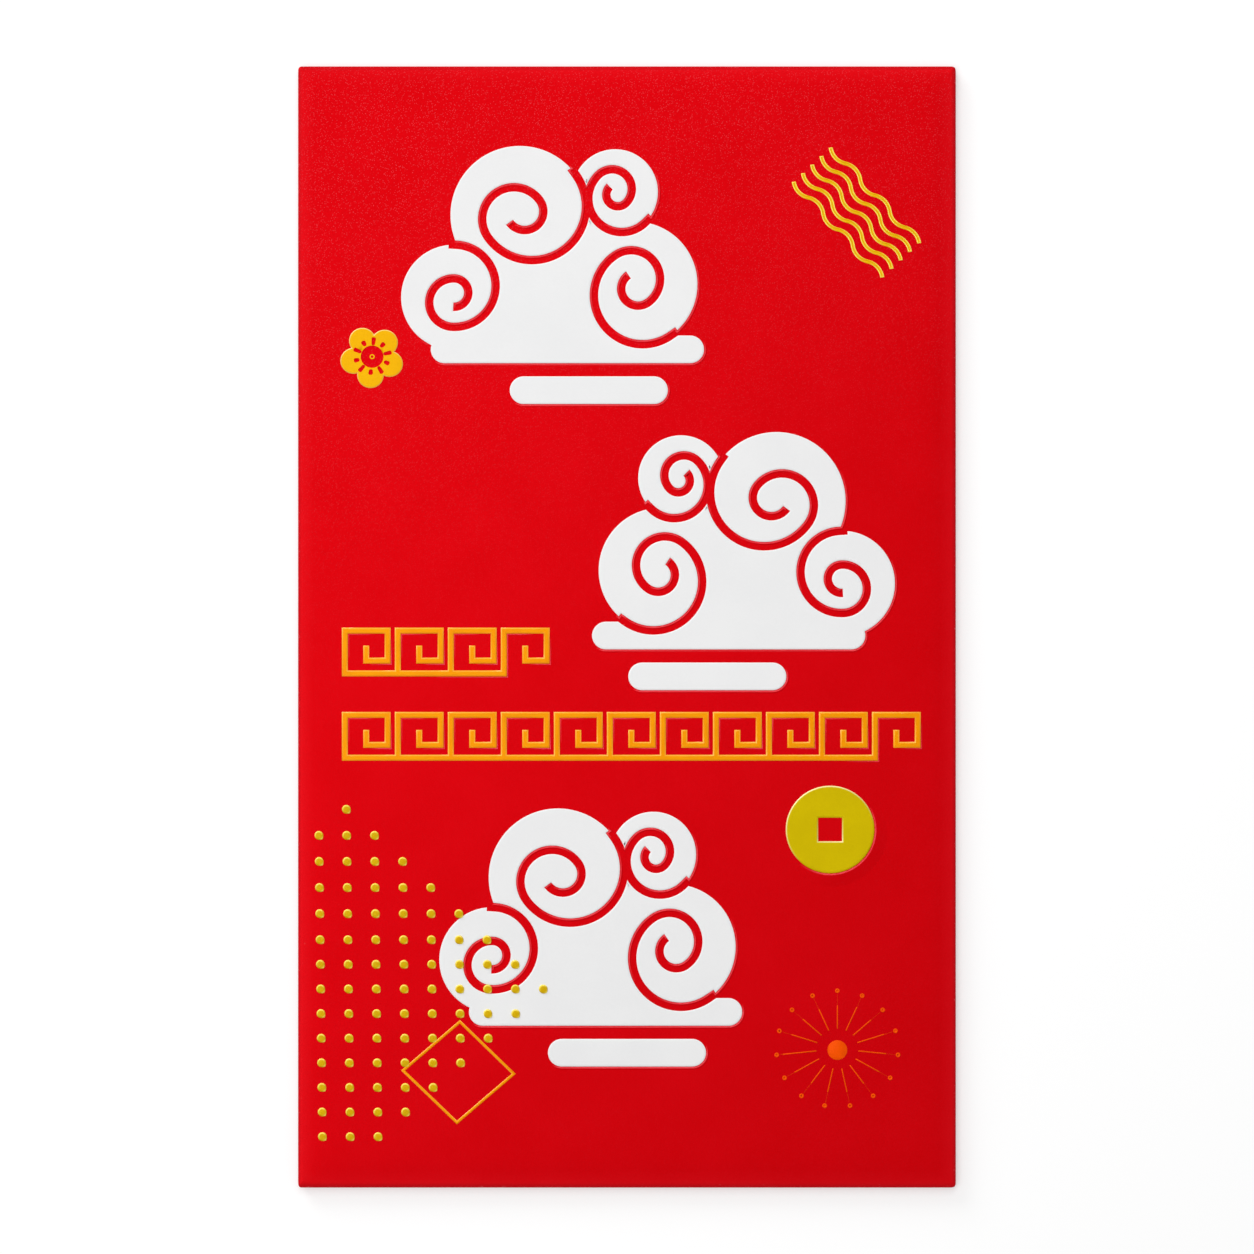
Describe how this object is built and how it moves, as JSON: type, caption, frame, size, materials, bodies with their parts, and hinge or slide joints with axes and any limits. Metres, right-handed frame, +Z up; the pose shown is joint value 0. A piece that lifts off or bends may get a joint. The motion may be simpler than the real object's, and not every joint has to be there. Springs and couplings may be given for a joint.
{
  "type": "red envelope",
  "caption": "Flat upright gift envelope of folded red paper with a glued pocket, a closure flap hinged on its top crease, and raised white, gold and orange print on the front.",
  "frame": {"origin": "under the middle of the front, on the surface that the closed envelope lies on", "axes": "+Z up out of the printed front, +Y towards the top crease, +X to the right of the print"},
  "size_m": [0.1, 0.1704, 0.0027],
  "materials": {
    "red_paper": "matte",
    "clear_glue": "satin",
    "white_print": "satin",
    "yellow_foil": "satin",
    "olive_gold_foil": "satin",
    "amber_foil": "satin",
    "orange_foil": "satin"
  },
  "bodies": {
    "pocket": {"front_panel": "red_paper", "back_panel": "red_paper", "side_glue_tab": "red_paper", "bottom_flap": "red_paper", "left_fold": "red_paper", "right_fold": "red_paper", "bottom_fold": "red_paper", "flap_crease": "red_paper", "side_seam_glue": "clear_glue", "bottom_seam_glue": "clear_glue", "cloud_upper": "white_print", "cloud_middle": "white_print", "cloud_lower": "white_print", "blossom_foil": "yellow_foil", "wave_foil": "yellow_foil", "coin_foil": "olive_gold_foil", "stud_foil": "olive_gold_foil", "diamond_foil": "amber_foil", "fret_band_upper": "amber_foil", "fret_band_lower": "amber_foil", "burst_foil": "orange_foil"},
    "flap": {"closure_flap": "red_paper"}
  },
  "joints": [
    {"name": "flap_open", "type": "hinge", "parent": "pocket", "child": "flap", "pos_m": [0, 0.0841, 0.00115], "axis": [1, 0, 0], "range_deg": [0, 180], "deforming": ["flap_crease"]}
  ]
}
